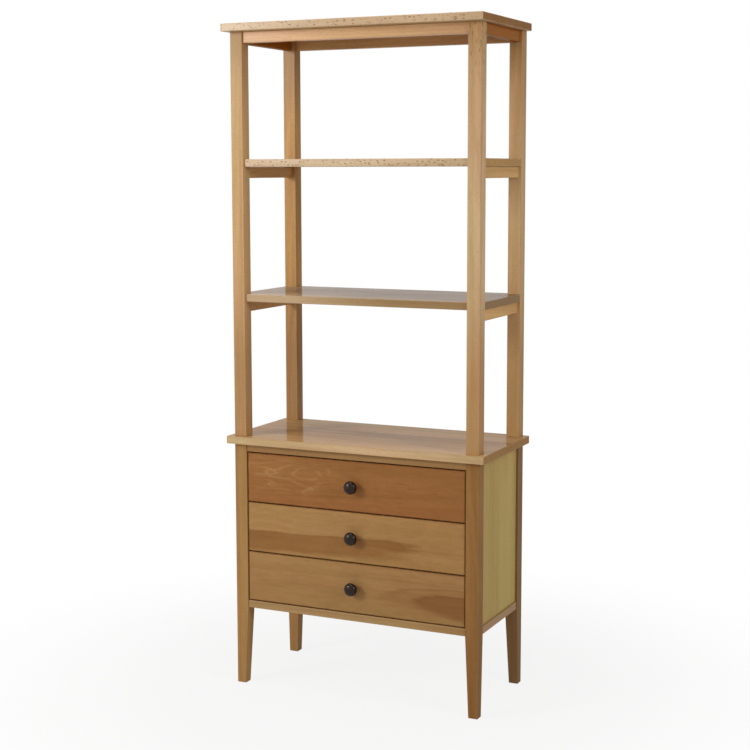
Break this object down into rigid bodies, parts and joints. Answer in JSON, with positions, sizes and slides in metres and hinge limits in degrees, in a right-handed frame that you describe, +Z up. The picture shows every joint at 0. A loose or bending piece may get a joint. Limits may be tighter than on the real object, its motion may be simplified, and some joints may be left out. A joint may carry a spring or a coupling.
{
  "type": "bookcase with bottom drawers",
  "caption": "Tall open shelf unit on square posts, standing on a chest of sliding drawers with tapered legs; holds books and display pieces above and stored things below.",
  "frame": {"origin": "on the floor, under the middle of the object's bounding box", "axes": "+X to the right as seen from the front, +Y to the back, +Z up; the drawers open towards -Y"},
  "size_m": [0.762, 0.365, 1.829],
  "materials": {
    "beech_frame": "beech with a clear satin lacquer, honey coloured",
    "beech_board": "beech boards with a clear semi-gloss lacquer, ray flecks on the edges",
    "drawer_front_reddish": "reddish beech with a clear satin lacquer",
    "drawer_front_banded": "golden beech with a darker band of heartwood, clear satin lacquer",
    "drawer_front_pale": "pale golden beech, clear satin lacquer",
    "side_panel": "pale yellowish veneered panel, clear satin lacquer",
    "plywood": "thin plywood, lightly sealed",
    "drawer_box": "pale beech, sanded and lightly sealed",
    "drawer_runner": "bare beech, waxed",
    "dark_bronze": "dark oil-rubbed bronze, softly polished",
    "steel": "zinc-plated steel"
  },
  "bodies": {
    "case": {"leg_front_left": "beech_frame", "leg_front_right": "beech_frame", "leg_back_left": "beech_frame", "leg_back_right": "beech_frame", "front_top_rail": "beech_frame", "front_bottom_rail": "beech_frame", "back_top_rail": "beech_frame", "back_bottom_rail": "beech_frame", "side_bottom_rail_left": "beech_frame", "side_bottom_rail_right": "beech_frame", "side_panel_left": "side_panel", "side_panel_right": "side_panel", "back_panel": "plywood", "base_top": "beech_board", "base_top_screw_front_left": "steel", "base_top_screw_front_right": "steel", "base_top_screw_back_left": "steel", "base_top_screw_back_right": "steel", "drawer_runner_1_left": "drawer_runner", "drawer_runner_1_right": "drawer_runner", "drawer_runner_2_left": "drawer_runner", "drawer_runner_2_right": "drawer_runner", "drawer_runner_3_left": "drawer_runner", "drawer_runner_3_right": "drawer_runner", "post_front_left": "beech_frame", "post_front_right": "beech_frame", "post_back_left": "beech_frame", "post_back_right": "beech_frame", "apron_front": "beech_frame", "apron_back": "beech_frame", "apron_left": "beech_frame", "apron_right": "beech_frame", "shelf_upper": "beech_board", "shelf_lower": "beech_board", "shelf_rail_upper_left": "beech_frame", "shelf_rail_upper_right": "beech_frame", "shelf_rail_lower_left": "beech_frame", "shelf_rail_lower_right": "beech_frame", "top_board": "beech_board"},
    "drawer_1": {"drawer_1_front": "drawer_front_reddish", "drawer_1_side_left": "drawer_box", "drawer_1_side_right": "drawer_box", "drawer_1_back": "drawer_box", "drawer_1_bottom": "plywood", "drawer_1_knob": "dark_bronze", "drawer_1_knob_screw": "steel"},
    "drawer_2": {"drawer_2_front": "drawer_front_banded", "drawer_2_side_left": "drawer_box", "drawer_2_side_right": "drawer_box", "drawer_2_back": "drawer_box", "drawer_2_bottom": "plywood", "drawer_2_knob": "dark_bronze", "drawer_2_knob_screw": "steel"},
    "drawer_3": {"drawer_3_front": "drawer_front_pale", "drawer_3_side_left": "drawer_box", "drawer_3_side_right": "drawer_box", "drawer_3_back": "drawer_box", "drawer_3_bottom": "plywood", "drawer_3_knob": "dark_bronze", "drawer_3_knob_screw": "steel"}
  },
  "joints": [
    {"name": "drawer_1_slide", "type": "slide", "parent": "case", "child": "drawer_1", "axis": [0, -1, 0], "range_m": [0, 0.235]},
    {"name": "drawer_2_slide", "type": "slide", "parent": "case", "child": "drawer_2", "axis": [0, -1, 0], "range_m": [0, 0.235]},
    {"name": "drawer_3_slide", "type": "slide", "parent": "case", "child": "drawer_3", "axis": [0, -1, 0], "range_m": [0, 0.235]}
  ]
}
